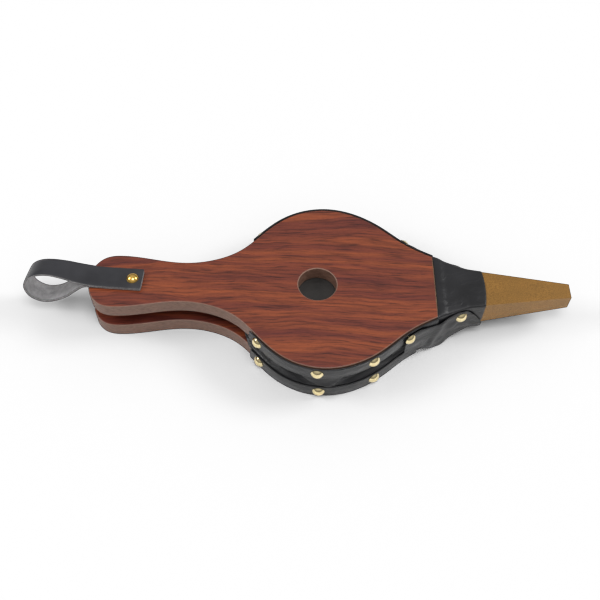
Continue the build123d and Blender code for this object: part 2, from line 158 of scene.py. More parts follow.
def edge_at(x, out=0.0, side=1):
    """A point on the wood's edge at a station, moved out by a distance, on the left (1) or right (-1)."""
    columns = (EDGE[:, 0], EDGE[:, 1], EDGE_OUT[:, 0], EDGE_OUT[:, 1])
    px, py, nx, ny = (np.interp(x, EDGE[:, 0], column) for column in columns)
    return px + nx * out, side * (py + ny * out)


def stations(x0, x1, spacing):
    """Stations from x0 to x1 that are evenly spaced along the edge."""
    inside = (EDGE[:, 0] >= min(x0, x1)) & (EDGE[:, 0] <= max(x0, x1))
    line = EDGE[inside]
    along = np.concatenate([[0], np.cumsum(np.hypot(*np.diff(line, axis=0).T))])
    count = max(2, round(along[-1] / spacing) + 1)
    xs = np.interp(np.linspace(0, along[-1], count), along, line[:, 0])
    xs[0], xs[-1] = min(x0, x1), max(x0, x1)
    return xs if x1 > x0 else xs[::-1]


# ---------------------------------------------------------------- meshes


def mesh_object(name, points, faces, material_ids=None):
    """A smooth-shaded object from points in millimetres and faces."""
    mesh = bpy.data.meshes.new(name)
    mesh.from_pydata([tuple(np.asarray(p, float) * MM) for p in points], [], faces)
    mesh.validate()
    if material_ids is not None:
        mesh.polygons.foreach_set("material_index", material_ids)
    mesh.polygons.foreach_set("use_smooth", [True] * len(mesh.polygons))
    made = bpy.data.objects.new(name, mesh)
    bpy.context.scene.collection.objects.link(made)
    return made


def grid_faces(rows, columns, closed=False):
    """Quads of a grid of points, row by row. A closed grid joins the last column to the first."""
    faces = []
    for r in range(rows - 1):
        for c in range(columns if closed else columns - 1):
            here, there = r * columns, (r + 1) * columns
            d = (c + 1) % columns
            faces.append((here + c, here + d, there + d, there + c))
    return faces


def soften(piece, levels):
    """Rounds a piece by subdivision, and keeps the shape that all its modifiers give as its own mesh."""
    rounding = piece.modifiers.new("rounding", "SUBSURF")
    rounding.levels = rounding.render_levels = levels
    bpy.context.view_layer.update()
    graph = bpy.context.evaluated_depsgraph_get()
    final = bpy.data.meshes.new_from_object(piece.evaluated_get(graph))
    piece.modifiers.clear()
    piece.data = final
    final.polygons.foreach_set("use_smooth", [True] * len(final.polygons))
    return piece


def leather_sheet(name, points, faces, thickness, levels=2):
    """A sheet of leather with its real thickness, from its middle surface."""
    piece = mesh_object(name, points, faces)
    body = piece.modifiers.new("thickness", "SOLIDIFY")
    body.thickness = thickness * MM
    body.offset = 0.0
    body.use_even_offset = True
    return soften(piece, levels)


def grid_area(points, faces):
    """Area of a middle surface in square millimetres."""
    points = np.asarray(points, float)
    area = 0.0
    for a, b, c, d in faces:
        area += 0.5 * np.linalg.norm(np.cross(points[c] - points[a], points[d] - points[b]))
    return area


def loft(name, rings, ring_ids=None):
    """A closed band through rings of equally many points, with its two ends capped."""
    rings = np.asarray(rings, float)
    count, columns = rings.shape[:2]
    faces = grid_faces(count, columns, closed=True)
    ids = None
    if ring_ids is not None:
        ids = [ring_ids[k % columns] for k in range(len(faces))] + [max(ring_ids)] * 2
    last = (count - 1) * columns
    faces.append(tuple(range(columns))[::-1])
    faces.append(tuple(range(last, last + columns)))
    return soften(mesh_object(name, rings.reshape(-1, 3), faces, ids), 1)


# ---------------------------------------------------------------- materials


def feed(tree, socket, value):
    """Gives a socket its value: a link from another socket, a colour or a number."""
    if isinstance(value, bpy.types.NodeSocket):
        tree.links.new(value, socket)
    elif socket.type == "RGBA":
        socket.default_value = (*value, 1.0)
    else:
        socket.default_value = value


def add_node(tree, kind, inputs, **settings):
    """A new node with its settings and its inputs."""
    node = tree.nodes.new(kind)
    for name, value in settings.items():
        setattr(node, name, value)
    for key, value in inputs.items():
        feed(tree, node.inputs[key], value)
    return node


class Shader:
    """A material whose Principled shader is fed by procedural nodes in object coordinates."""

    def __init__(self, name):
        self.material = bpy.data.materials.new(name)
        self.material.use_nodes = True
        self.tree = self.material.node_tree
        self.surface = self.tree.nodes["Principled BSDF"]
        coordinates = add_node(self.tree, "ShaderNodeTexCoord", {})
        self.place = coordinates.outputs["Object"]
        self.normal = coordinates.outputs["Normal"]

    def set(self, **values):
        """Sets the surface's sockets, each named with _ for a space."""
        for name, value in values.items():
            feed(self.tree, self.surface.inputs[name.replace("_", " ")], value)

    def result(self, output, kind, inputs, **settings):
        """One output of a new node."""
        return add_node(self.tree, kind, inputs, **settings).outputs[output]

    def scaled(self, scale):
        """Object coordinates scaled per axis."""
        return self.result("Vector", "ShaderNodeMapping", {"Vector": self.place, "Scale": scale})

    def noise(self, vector, scale=1.0, detail=4.0, roughness=0.55, distortion=0.0):
        """Cloudy noise from 0 to 1."""
        inputs = {
            "Vector": vector,
            "Scale": scale,
            "Detail": detail,
            "Roughness": roughness,
            "Distortion": distortion,
        }
        return self.result("Fac", "ShaderNodeTexNoise", inputs)

    def cells(self, vector, scale):
        """Distance to the nearest edge between pebble-like cells."""
        inputs = {"Vector": vector, "Scale": scale}
        return self.result("Distance", "ShaderNodeTexVoronoi", inputs, feature="DISTANCE_TO_EDGE")

    def ramp(self, value, stops):
        """A colour ramp: stops are (place, colour)."""
        node = add_node(self.tree, "ShaderNodeValToRGB", {"Fac": value})
        elements = node.color_ramp.elements
        while len(elements) < len(stops):
            elements.new(0.5)
        for element, (place, colour) in zip(elements, stops):
            element.position = place
            element.color = (*colour, 1.0)
        return node.outputs["Color"]

    def range(self, value, low, high, to_low, to_high):
        """A value that goes smoothly from one number to another as the given value goes from low to high."""
        inputs = {"Value": value, "From Min": low, "From Max": high, "To Min": to_low, "To Max": to_high}
        return self.result("Result", "ShaderNodeMapRange", inputs, interpolation_type="SMOOTHSTEP")

    def mix(self, share, a, b, blend="MIX"):
        """Colours a and b by a share."""
        inputs = {0: share, 6: a, 7: b}
        return self.result(2, "ShaderNodeMix", inputs, data_type="RGBA", blend_type=blend)

    def math(self, operation, a, b=0.0):
        """The result of one sum."""
        return self.result(0, "ShaderNodeMath", {0: a, 1: b}, operation=operation)

    def split(self, vector):
        """The three parts of a vector."""
        return add_node(self.tree, "ShaderNodeSeparateXYZ", {0: vector}).outputs

    def join(self, x, y, z):
        """A vector from its three parts."""
        return self.result(0, "ShaderNodeCombineXYZ", {0: x, 1: y, 2: z})

    def bumps(self, *layers):
        """Bump layers of (height, strength, distance in millimetres), one on another."""
        inputs = {}
        for height, strength, distance in layers:
            inputs.update({"Height": height, "Strength": strength, "Distance": distance * MM})
            inputs["Normal"] = self.result("Normal", "ShaderNodeBump", inputs)
        self.set(Normal=inputs["Normal"])


def board_material():
    """Glossy rosewood laminate on the two faces, sanded brown fibreboard on the edges."""
    s = Shader("rosewood_board")
    x, y, z = s.split(s.place)
    # The grain's lines run along X, bent in long sways and short ripples
    bent = y
    for scale, detail, reach in (((8, 12, 60), 1.5, 0.026), ((38, 60, 60), 2, 0.0035)):
        wave = s.noise(s.scaled(scale), detail=detail)
        bent = s.math("ADD", bent, s.math("MULTIPLY", s.math("SUBTRACT", wave, 0.5), reach))

    def along(x_scale, y_scale):
        """Coordinates that follow the bent grain, scaled along and across it."""
        parts = ((x, x_scale), (bent, y_scale), (z, 40))
        return s.join(*(s.math("MULTIPLY", part, scale) for part, scale in parts))

    figure = s.noise(along(4.5, 95), detail=3, roughness=0.5)
    grain = s.noise(along(24, 520), detail=4, roughness=0.6)
    dashes = s.noise(along(48, 880), detail=2, roughness=0.5)
    pores = s.noise(along(300, 2600), detail=2, roughness=0.5)
    tone = s.ramp(
        figure,
        [
            (0.32, (0.109, 0.021, 0.015)),
            (0.48, (0.165, 0.035, 0.017)),
            (0.62, (0.238, 0.055, 0.019)),
        ],
    )
    shade = s.ramp(
        grain,
        [
            (0.30, (0.42, 0.36, 0.42)),
            (0.52, (0.98, 0.96, 0.95)),
            (0.72, (1.22, 1.18, 1.05)),
        ],
    )
    face = s.mix(1.0, tone, shade, "MULTIPLY")
    dark = s.ramp(dashes, [(0.33, (0.30, 0.26, 0.34)), (0.45, (1.0, 1.0, 1.0))])
    face = s.mix(0.80, face, dark, "MULTIPLY")
    specks = s.ramp(pores, [(0.34, (0.62, 0.58, 0.60)), (0.46, (1.0, 1.0, 1.0))])
    face = s.mix(0.6, face, specks, "MULTIPLY")
    fibre = s.noise(s.scaled((260, 260, 700)), detail=5, roughness=0.65)
    edge = s.ramp(fibre, [(0.3, (0.120, 0.060, 0.040)), (0.7, (0.225, 0.125, 0.088))])
    # The surface's tilt tells the faces from the edges, and both from the rounded arris between them, which
    # gets a painted highlight
    upright = s.math("ABSOLUTE", s.split(s.normal)[2])
    on_face = s.range(upright, 0.70, 0.95, 0.0, 1.0)
    off_edge = s.range(upright, 0.20, 0.55, 0.0, 1.0)
    arris_highlight_mask = s.math("MULTIPLY", off_edge, s.math("SUBTRACT", 1.0, on_face))
    # Painted highlight: the arris is mixed towards a pale colour, standing in for the light line that the
    # rounded rim catches
    edge = s.mix(s.math("MULTIPLY", arris_highlight_mask, 0.55), edge, (0.33, 0.20, 0.15))
    s.set(
        Base_Color=s.mix(on_face, edge, face),
        Roughness=s.range(on_face, 0.0, 1.0, 0.55, 0.38),
        Specular_IOR_Level=0.40,
        Coat_Weight=0.06,
        Coat_Roughness=0.25,
    )
    s.bumps((grain, 0.08, 0.12), (fibre, 0.12, 0.10))
    return s.material


def block_material():
    """Bare pale softwood."""
    s = Shader("block_softwood")
    grain = s.noise(s.scaled((12, 150, 150)), detail=5, roughness=0.6)
    s.set(
        Base_Color=s.ramp(grain, [(0.3, (0.30, 0.18, 0.09)), (0.7, (0.52, 0.36, 0.20))]),
        Roughness=s.range(grain, 0.3, 0.7, 0.75, 0.6),
    )
    s.bumps((grain, 0.25, 0.2))
    return s.material


def leather_material(name, dark, light, rough, grain_size=0.55, crease=0.25):
    """Leather with a pebbled grain, soft creases and a little uneven shine."""
    s = Shader(name)
    pebbles = s.cells(s.place, 1 / (grain_size * MM))
    fine = s.noise(s.place, scale=1 / (0.3 * MM), detail=2)
    creases = s.noise(s.scaled((70, 110, 150)), detail=4, roughness=0.55, distortion=0.8)
    wrinkles = s.noise(s.scaled((260, 260, 380)), detail=4, roughness=0.6, distortion=1.2)
    patches = s.noise(s.place, scale=38, detail=3)
    s.set(
        Base_Color=s.ramp(patches, [(0.3, dark), (0.7, light)]),
        Roughness=s.range(patches, 0.3, 0.7, rough - 0.06, rough + 0.08),
        Specular_IOR_Level=0.42,
    )
    s.bumps((creases, crease, 1.6), (wrinkles, crease, 0.5), (pebbles, 0.30, 0.05), (fine, 0.12, 0.04))
    return s.material


def suede_material():
    """The strap's flesh side: grey, mottled and matt."""
    s = Shader("strap_suede")
    mottle = s.noise(s.place, scale=170, detail=5, roughness=0.7)
    nap = s.noise(s.place, scale=1500, detail=3)
    s.set(
        Base_Color=s.ramp(mottle, [(0.3, (0.21, 0.203, 0.208)), (0.7, (0.42, 0.41, 0.415))]),
        Roughness=s.range(mottle, 0.3, 0.7, 0.96, 0.86),
        Specular_IOR_Level=0.25,
        Sheen_Weight=0.3,
        Sheen_Roughness=0.6,
    )
    s.bumps((mottle, 0.3, 0.25), (nap, 0.4, 0.08))
    return s.material


def cut_edge_material():
    """The strap's raw cut edge."""
    s = Shader("strap_cut_edge")
    fibres = s.noise(s.scaled((700, 700, 900)), detail=4)
    s.set(
        Base_Color=s.ramp(fibres, [(0.3, (0.09, 0.088, 0.090)), (0.7, (0.30, 0.29, 0.29))]),
        Roughness=s.range(fibres, 0.3, 0.7, 0.9, 0.75),
    )
    s.bumps((fibres, 0.4, 0.12))
    return s.material


def nozzle_material():
    """Bronze gold paint with a fine metallic speckle under a clear coat."""
    s = Shader("bronze_paint")
    speckle = s.noise(s.place, scale=1300, detail=3, roughness=0.7)
    drift = s.noise(s.scaled((30, 60, 60)), detail=3)
    paint = s.ramp(speckle, [(0.30, (0.140, 0.064, 0.010)), (0.70, (0.370, 0.190, 0.042))])
    tone = s.ramp(drift, [(0.3, (0.90, 0.90, 0.90)), (0.7, (1.08, 1.06, 1.02))])
    s.set(
        Base_Color=s.mix(1.0, paint, tone, "MULTIPLY"),
        Roughness=s.range(speckle, 0.3, 0.7, 0.50, 0.36),
        Metallic=0.4,
        Specular_IOR_Level=0.4,
        Coat_Weight=0.12,
        Coat_Roughness=0.35,
    )
    s.bumps((speckle, 0.22, 0.08), (drift, 0.15, 0.4))
    return s.material


def brass_material(name, dark, light, rough):
    """Polished plated brass with faint scuffs."""
    s = Shader(name)
    scuffs = s.noise(s.place, scale=420, detail=5, roughness=0.7)
    s.set(
        Base_Color=s.ramp(scuffs, [(0.3, dark), (0.7, light)]),
        Roughness=s.range(scuffs, 0.3, 0.7, rough + 0.08, rough),
        Metallic=1.0,
    )
    s.bumps((scuffs, 0.08, 0.08))
    return s.material


def steel_material():
    """Plain drawn wire nail steel."""
    s = Shader("nail_steel")
    marks = s.noise(s.scaled((900, 900, 200)), detail=3)
    s.set(
        Base_Color=s.ramp(marks, [(0.3, (0.33, 0.33, 0.34)), (0.7, (0.55, 0.55, 0.56))]),
        Roughness=s.range(marks, 0.3, 0.7, 0.5, 0.35),
        Metallic=1.0,
    )
    s.bumps((marks, 0.15, 0.05))
    return s.material


MATERIALS = {
    "board_wood": board_material(),
    "block_wood": block_material(),
    "nozzle_paint": nozzle_material(),
    "black_leather": leather_material(
        "black_leather", (0.005, 0.005, 0.006), (0.011, 0.011, 0.013), 0.34, crease=0.42
    ),
    "strap_leather": leather_material(
        "strap_grain", (0.014, 0.014, 0.017), (0.030, 0.030, 0.035), 0.48, grain_size=0.8, crease=0.10
    ),
    "flap_leather": leather_material("flap_leather", (0.014, 0.013, 0.012), (0.032, 0.029, 0.027), 0.62),
    "tack_brass": brass_material("pale_brass", (0.66, 0.53, 0.26), (0.92, 0.80, 0.50), 0.07),
    "rivet_brass": brass_material("rich_brass", (0.66, 0.38, 0.07), (0.92, 0.60, 0.17), 0.07),
    "nail_steel": steel_material(),
}
SUEDE = suede_material()
CUT_EDGE = cut_edge_material()

for row in frame["record"]["subparts"]:
    node = frame["nodes"][row["node"]]
    node.data.materials.clear()
    node.data.materials.append(MATERIALS[row["material_slot"]])


def dress(piece, slot, *materials):
    """Gives a new piece the given materials, or else the material of the named slot."""
    for material in materials or (MATERIALS[slot],):
        piece.data.materials.append(material)
    return piece


def leather_grid(name, rows, thickness, levels=2):
    """A sheet of black leather through rows of points, and its middle surface's area."""
    points = [point for row in rows for point in row]
    faces = grid_faces(len(rows), len(rows[0]))
    piece = leather_sheet(name, points, faces, thickness, levels)
    return dress(piece, "black_leather"), grid_area(points, faces)


# ---------------------------------------------------------------- welts

WELT_IN = 0.95
WELT_OUT = 2.2
WELT_BEAD = 0.15
WELT_CROWN = 0.5
WELT_REAR_X = -58.0
PLAIN_WELT_FRONT_X = 90.0
# The strip's section as (distance out, share of its height), from its inner bottom corner round
WELT_SECTION = [
    (WELT_IN, 0.02),
    (WELT_IN, 0.35),
    (WELT_IN, 0.65),
    (WELT_IN, 0.98),
    (WELT_OUT - 0.5, 1.0),
    (WELT_OUT + WELT_BEAD, 0.965),
    (WELT_OUT + WELT_BEAD, 0.90),
    (WELT_OUT - 0.05, 0.83),
    (WELT_OUT, 0.66),
    (WELT_OUT, 0.5),
    (WELT_OUT, 0.34),
    (WELT_OUT - 0.05, 0.17),
    (WELT_OUT + WELT_BEAD, 0.10),
    (WELT_OUT + WELT_BEAD, 0.035),
    (WELT_OUT - 0.5, 0.0),
]
WELT_MARGIN = 0.4
WELT_STEP = 3.0
WELT_LIFT = 0.12
# How far from a tack the strip is drawn in
TACK_REACH = 9.0


def make_welt(name, node, side, bottom, front_x, tack_xs, body):
    """One strip along a board's edge: rolled at its two long edges, drawn in at each tack."""
    xs = stations(WELT_REAR_X, front_x, WELT_STEP)
    # One more station close to each end keeps the ends square when the strip is rounded
    xs = np.insert(xs, [1, len(xs) - 1], [xs[0] + 0.5, xs[-1] - 0.5])
    rings = []
    for x in xs:
        reach = min(abs(x - t) for t in tack_xs)
        crown = WELT_CROWN * (1 - hill(reach, TACK_REACH)) * (1 + 0.5 * wander(x, side * 40, bottom, 17))
        lift = WELT_LIFT * wander(x, side * 9, bottom, 11, 4.2)
        ring = []
        for out, share in WELT_SECTION:
            z = bottom + WELT_MARGIN + share * (BOARD_T - 2 * WELT_MARGIN)
            swell = crown * math.sin(math.pi * share) if out > WELT_IN else 0.0
            px, py = edge_at(x, out + swell, side)
            ring.append((px, py, z + lift * (0 < share < 1)))
        rings.append(ring if side > 0 else ring[::-1])
    piece = dress(loft(name, rings), "black_leather")
    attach(piece, body)
    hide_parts(node)


for side_name, side in (("left", 1), ("right", -1)):
    make_welt(
        f"valve_welt_{side_name}",
        f"valve_board_welt_{side_name}",
        side,
        VALVE_BOTTOM,
        FRONT_X,
        VALVE_TACK_XS,
        "valve_side",
    )
    make_welt(
        f"plain_welt_{side_name}",
        f"plain_board_welt_{side_name}",
        side,
        PLAIN_BOTTOM,
        PLAIN_WELT_FRONT_X,
        PLAIN_TACK_XS,
        "plain_side",
    )


# ---------------------------------------------------------------- gusset

GUSSET_T = 0.9
GUSSET_FRONT_X = 104.0
GUSSET_REAR_X = -60.0
GUSSET_OUT = 0.45
REAR_BOW = 9.0
FOLD_DEPTH = 12.5
FRONT_FOLD_DEPTH = 2.2
FLANGE = 3.5
FOLD_STEPS = 16
GUSSET_STEP = 3.5
# The fold deepens from the block's end over this stretch of the gusset's length
DEEPEN_FROM = 15
DEEPEN_REACH = 75
PLEAT_HEIGHT = 2.6
PLEAT_LENGTH = 19.0
CRUMPLE_HEIGHT = 1.5
FLANGE_BOTTOM = 0.8
# Forward of the plain board's welt, the gusset alone covers that board's edge
BARE_EDGE_REACH = 5.0
BARE_EDGE_X = PLAIN_WELT_FRONT_X - BARE_EDGE_REACH
# A slack stretch of each side stands out between the welts and laps over itself in a V
SLACK_X = 8.0
SLACK_REACH = 40.0
SLACK_IN = 1.6
LAP_TIP_X = 13.0
LAP_TIP_Z = PLAIN_TOP + 1.0
LAP_SLOPES = (0.20, 0.75)
LAP_DEPTH = 5.0


def gusset_path():
    """The gusset's line round the chamber, its outward directions, and 1 on the neck's wall, 0 off it."""
    left = [edge_at(x) for x in stations(GUSSET_FRONT_X, GUSSET_REAR_X, GUSSET_STEP)]
    wall_y = left[-1][1]
    count = round(2 * wall_y / GUSSET_STEP)
    rear = []
    for k in range(1, count):
        y = wall_y * (1 - 2 * k / count)
        rear.append((GUSSET_REAR_X - REAR_BOW * (1 - (y / wall_y) ** 2), y))
    right = [(x, -y) for x, y in reversed(left)]
    line = np.array(left + rear + right)
    tangent = np.gradient(line, axis=0)
    for _ in range(2):
        tangent[1:-1] = (tangent[:-2] + 2 * tangent[1:-1] + tangent[2:]) / 4
    tangent /= np.linalg.norm(tangent, axis=1)[:, None]
    out = np.stack([tangent[:, 1], -tangent[:, 0]], axis=1)
    on_wall = np.array([0.0] * len(left) + [1.0] * len(rear) + [0.0] * len(right))
    for _ in range(3):
        on_wall[1:-1] = (on_wall[:-2] + 2 * on_wall[1:-1] + on_wall[2:]) / 4
    return line, out, on_wall


def make_gusset():
    """One strip of leather round the chamber, folded inwards while the boards are shut."""
    line, out, on_wall = gusset_path()
    along = np.concatenate([[0], np.cumsum(np.hypot(*np.diff(line, axis=0).T))])
    rows = []
    for k, (x, y) in enumerate(line):
        from_front = min(along[k], along[-1] - along[k])
        open_share = smooth_step((from_front - DEEPEN_FROM) / DEEPEN_REACH)
        depth = FRONT_FOLD_DEPTH + (FOLD_DEPTH - FRONT_FOLD_DEPTH) * open_share
        depth *= 1 + 0.25 * wander(x, y, 0, 28, 1.7) * open_share - 0.35 * on_wall[k]
        flange = FLANGE * (1 - on_wall[k]) + 0.3
        bare = float(smooth_step((x - BARE_EDGE_X) / BARE_EDGE_REACH))
        drop = flange + (PLAIN_TOP - FLANGE_BOTTOM - flange) * bare
        slack = hill(x - SLACK_X, SLACK_REACH) * (1 - on_wall[k])
        lap_slope = LAP_SLOPES[0] if x < LAP_TIP_X else LAP_SLOPES[1]
        lap_z = LAP_TIP_Z + lap_slope * abs(x - LAP_TIP_X)
        offsets = [(GUSSET_OUT, PLAIN_TOP - drop), (GUSSET_OUT, PLAIN_TOP - 0.35 * drop)]
        for j in range(FOLD_STEPS + 1):
            t = j / FOLD_STEPS
            fold = math.sin(math.pi * t) ** 0.8
            # Smaller pleats that run slantwise round the wall
            slant = math.sin(4 * math.pi * t + along[k] / PLEAT_LENGTH + 1.4 * wander(x, y, 5, 40, 6.1))
            middle = math.sin(math.pi * t)
            pleat = PLEAT_HEIGHT * slant * middle**2 * open_share * (1 - 0.6 * on_wall[k])
            crumple = CRUMPLE_HEIGHT * wander(x, y, 14 * t, 9, 2.3) * middle * open_share
            height = PLAIN_TOP + 0.1 + t * (VALVE_BOTTOM - PLAIN_TOP - 0.2)
            folded = pleat + crumple - depth * fold
            above = float(smooth_step(height - lap_z))
            lap = LAP_DEPTH * above * max(0.0, VALVE_BOTTOM - height) / (VALVE_BOTTOM - PLAIN_TOP)
            slack_out = lap - SLACK_IN * fold + 0.2 * crumple
            offsets.append((GUSSET_OUT + folded + (slack_out - folded) * slack, height))
        offsets += [(GUSSET_OUT, VALVE_BOTTOM + 0.35 * flange), (GUSSET_OUT, VALVE_BOTTOM + flange)]
        rows.append([(x + out[k][0] * o, y + out[k][1] * o, z) for o, z in offsets])
    piece, area = leather_grid("gusset", rows, GUSSET_T)
    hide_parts("gusset_leather")
    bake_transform(piece)


make_gusset()


# ---------------------------------------------------------------- top cover

COVER_T = 1.0
COVER_REAR_X = FRONT_X + 0.5
COVER_END_X = 150.5
HEM = 6.5
# The hem's middle line as (station, distance off the block): turned under along its rear edge
HEM_LINE = [
    (COVER_REAR_X + HEM, 0.5),
    (COVER_REAR_X + 0.5 * HEM, 0.5),
    (COVER_REAR_X + 0.7, 0.55),
    (COVER_REAR_X, 1.05),
    (COVER_REAR_X + 0.7, 1.6),
    (COVER_REAR_X + 0.45 * HEM, 1.75),
    (COVER_REAR_X + 0.9 * HEM, 1.6),
    (COVER_REAR_X + 1.25 * HEM, 0.75),
]
COVER_OFF = 0.6
# Height of the sides' lower edges as (station, height)
COVER_LOW = np.array([(COVER_REAR_X, 22), (138, 21), (COVER_END_X, 19)])
SIDE_SHARES = (0.0, 0.2, 0.4, 0.6, 0.78, 0.92)
TOP_SHARES = np.linspace(-1, 1, 13)
FRONT_BOW = 1.6
FRONT_BOW_X = 140


def body_top(x):
    """Top of the block or the nozzle at a station."""
    at_end = nozzle_line(BLOCK_END_X, ROOT_TOP, TIP_TOP)
    if x < BLOCK_END_X:
        return BLOCK_TOP + (x - FRONT_X) / (BLOCK_END_X - FRONT_X) * (at_end - BLOCK_TOP)
    return nozzle_line(x, ROOT_TOP, TIP_TOP)


def body_bottom(x):
    """Bottom of the block or the nozzle at a station."""
    at_end = nozzle_line(BLOCK_END_X, ROOT_BOTTOM, TIP_BOTTOM)
    if x < BLOCK_END_X:
        share = max(0.0, (x - RELIEF_X) / (BLOCK_END_X - RELIEF_X))
        return BLOCK_BOTTOM + share * (at_end - BLOCK_BOTTOM)
    return nozzle_line(x, ROOT_BOTTOM, TIP_BOTTOM)


def make_top_cover():
    """Leather over the block: down both sides, with a turned hem at the board and a bowed front edge."""
    forward = [(x, COVER_OFF) for x in np.linspace(COVER_REAR_X + 1.7 * HEM, COVER_END_X, 12)]
    rows = []
    for x, off in HEM_LINE + forward:
        low = np.interp(x, COVER_LOW[:, 0], COVER_LOW[:, 1])
        walls = []
        for side in (1, -1):
            wall = []
            for share in SIDE_SHARES:
                z = low + share * (body_top(x) + off - low)
                px, py = edge_at(x, 0.55 + 0.35 * (off - 0.5) * share, side)
                wall.append((px, py, z))
            walls.append(wall)
        half = edge_at(x, 0.55)[1]
        top = []
        for share in TOP_SHARES:
            bow = FRONT_BOW * (1 - share**2) * smooth_step((x - FRONT_BOW_X) / (COVER_END_X - FRONT_BOW_X))
            z = body_top(x) + off + 0.25 * (1 - share**2) + 0.12 * wander(x, share * 30, 0, 8, 3.3)
            z -= 0.25 * abs(share) ** 8
            top.append((edge_at(x, 0.5)[0] + bow, -share * half * 0.985, z))
        rows.append(walls[0] + top + walls[1][::-1])
    piece, area = leather_grid("top_cover_leather", rows, COVER_T)
    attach(piece, "valve_side")
    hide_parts("top_cover")


make_top_cover()


# ---------------------------------------------------------------- outer wrap

WRAP_T = 1.2
WRAP_REAR_X = 75.0
WRAP_FLOOR_X = 113.5
WRAP_END_X = 149.5
WRAP_REAR_OUT = 3.7
WRAP_FRONT_OUT = 1.95
# Upper and lower edges of the wrap's sides, in side view
WRAP_UPPER = [
    (75, 39.5),
    (78, 42.0),
    (88, 42.6),
    (99, 38.8),
    (108, 37.4),
    (117, 40.4),
    (126, 42.0),
    (134, 40.0),
    (141, 33.0),
    (149.5, 20.0),
]
WRAP_LOWER = [(75, 19.0), (79, 16.2), (89, 13.4), (101, 4.0), (105, 1.4), (109, 0.9), (113.5, 1.4)]
# The sides come in to the block in front of the line that the plain board's end swings up to
SWING_TOP_X = 107.6
SWING_TOP_Z = 17.3
SWING_SLOPE = 0.36
WRAP_STEP = 9.0
# Half width of the patch round each tack where the wrap lies flat, and the small folds round it
TACK_PATCH = 8.0
PULL_HEIGHT = 0.55
PULL_COUNT = 5
PULL_R = 11.0
PULL_REACH = 5.0
# Folds that cross the sides as (height, station, height that it is at, lean, half width)
WRAP_FOLDS = ((1.3, 104, 22, 0.35, 3.2), (0.9, 92, 26, -0.5, 2.8))
# The grid: stations behind and in front of where the wrap goes under the block, and steps up and across
REAR_STATIONS = 19
FRONT_STATIONS = 19
SIDE_STEPS = 16
FLOOR_STEPS = 12


def wrap_out(x, z):
    """How far the wrap's middle stands off the wood: out over the welts, then close in on the block."""
    start = SWING_TOP_X + SWING_SLOPE * max(0.0, SWING_TOP_Z - z)
    return WRAP_REAR_OUT + (WRAP_FRONT_OUT - WRAP_REAR_OUT) * float(smooth_step((x - start) / WRAP_STEP))


def pull_lines(dx, dz):
    """Small folds that fan out round a tack, where the leather is drawn to it."""
    reach = math.hypot(dx, dz)
    return PULL_HEIGHT * math.sin(PULL_COUNT * math.atan2(dz, dx) + 0.8) * hill(reach - PULL_R, PULL_REACH)


def make_outer_wrap():
    """Leather round the block's two sides and its plain side, with two flaps back over the welts."""
    rear_xs = np.linspace(WRAP_REAR_X, WRAP_FLOOR_X, REAR_STATIONS)
    front_xs = np.linspace(WRAP_FLOOR_X, WRAP_END_X, FRONT_STATIONS)
    xs = np.concatenate([rear_xs, front_xs[1:]])
    floor_from = REAR_STATIONS - 1
    upper = np.array(WRAP_UPPER)
    lower = np.array(WRAP_LOWER)
    points = []
    index = {}

    def add(key, point):
        index[key] = len(points)
        points.append(point)

    for i, x in enumerate(xs):
        high = np.interp(x, upper[:, 0], upper[:, 1])
        floor_z = body_bottom(x) - WRAP_FRONT_OUT
        low = np.interp(x, lower[:, 0], lower[:, 1]) if x < WRAP_FLOOR_X else floor_z
        for side in (1, -1):
            for j in range(SIDE_STEPS + 1):
                t = j / SIDE_STEPS
                z = low + (high - low) * t
                near_tack = max(hill(math.hypot(x - tx, z - tz), TACK_PATCH) for tx, tz in WRAP_TACKS)
                loose = (1 - near_tack) * math.sin(math.pi * min(1.0, 0.15 + 0.85 * t)) ** 0.5
                crease = 1.1 * abs(wander(x, side * 20, z, 12, 8.4))
                crease += 0.5 * abs(wander(x, side * 7, z, 5, 1.1))
                fold = sum(
                    height * hill(x - fold_x - lean * (z - fold_z), reach)
                    for height, fold_x, fold_z, lean, reach in WRAP_FOLDS
                )
                pull = sum(pull_lines(x - tx, z - tz) for tx, tz in WRAP_TACKS)
                out = wrap_out(x, z) + loose * (crease + fold) + max(-0.2, pull)
                px, py = edge_at(x, out, side)
                add((i, side, j), (px, py, z))
        if i >= floor_from:
            half = edge_at(x, wrap_out(x, floor_z))[1]
            for k in range(1, FLOOR_STEPS):
                share = 1 - 2 * k / FLOOR_STEPS
                sag = 0.5 * abs(wander(x, share * 30, 0, 10, 5.5)) * (1 - share**2)
                px = edge_at(x, WRAP_FRONT_OUT)[0]
                add((i, 0, k), (px, share * half, floor_z - sag))
            for side, k in ((1, 0), (-1, FLOOR_STEPS)):
                index[(i, 0, k)] = index[(i, side, 0)]
    faces = []
    for i in range(len(xs) - 1):
        for j in range(SIDE_STEPS):
            for side in (1, -1):
                quad = [(i, side, j), (i + 1, side, j), (i + 1, side, j + 1), (i, side, j + 1)]
                quad = [index[key] for key in quad]
                faces.append(tuple(quad if side < 0 else quad[::-1]))
        if i >= floor_from:
            for k in range(FLOOR_STEPS):
                quad = [(i, 0, k), (i + 1, 0, k), (i + 1, 0, k + 1), (i, 0, k + 1)]
                faces.append(tuple(index[key] for key in quad))
    piece = leather_sheet("outer_wrap_leather", points, faces, WRAP_T)
    dress(piece, "black_leather")
    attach(piece, "valve_side")
    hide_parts("outer_wrap")


make_outer_wrap()


# ---------------------------------------------------------------- hinge leather

HINGE_REAR_X = 86.0
PIVOT_X = 106.8
PIVOT_Z = 16.3
HINGE_T = 1.1
HINGE_MIDDLE_R = 0.72
HINGE_HALF_W = 30.0
HINGE_STEPS = 8
HINGE_ACROSS = 17


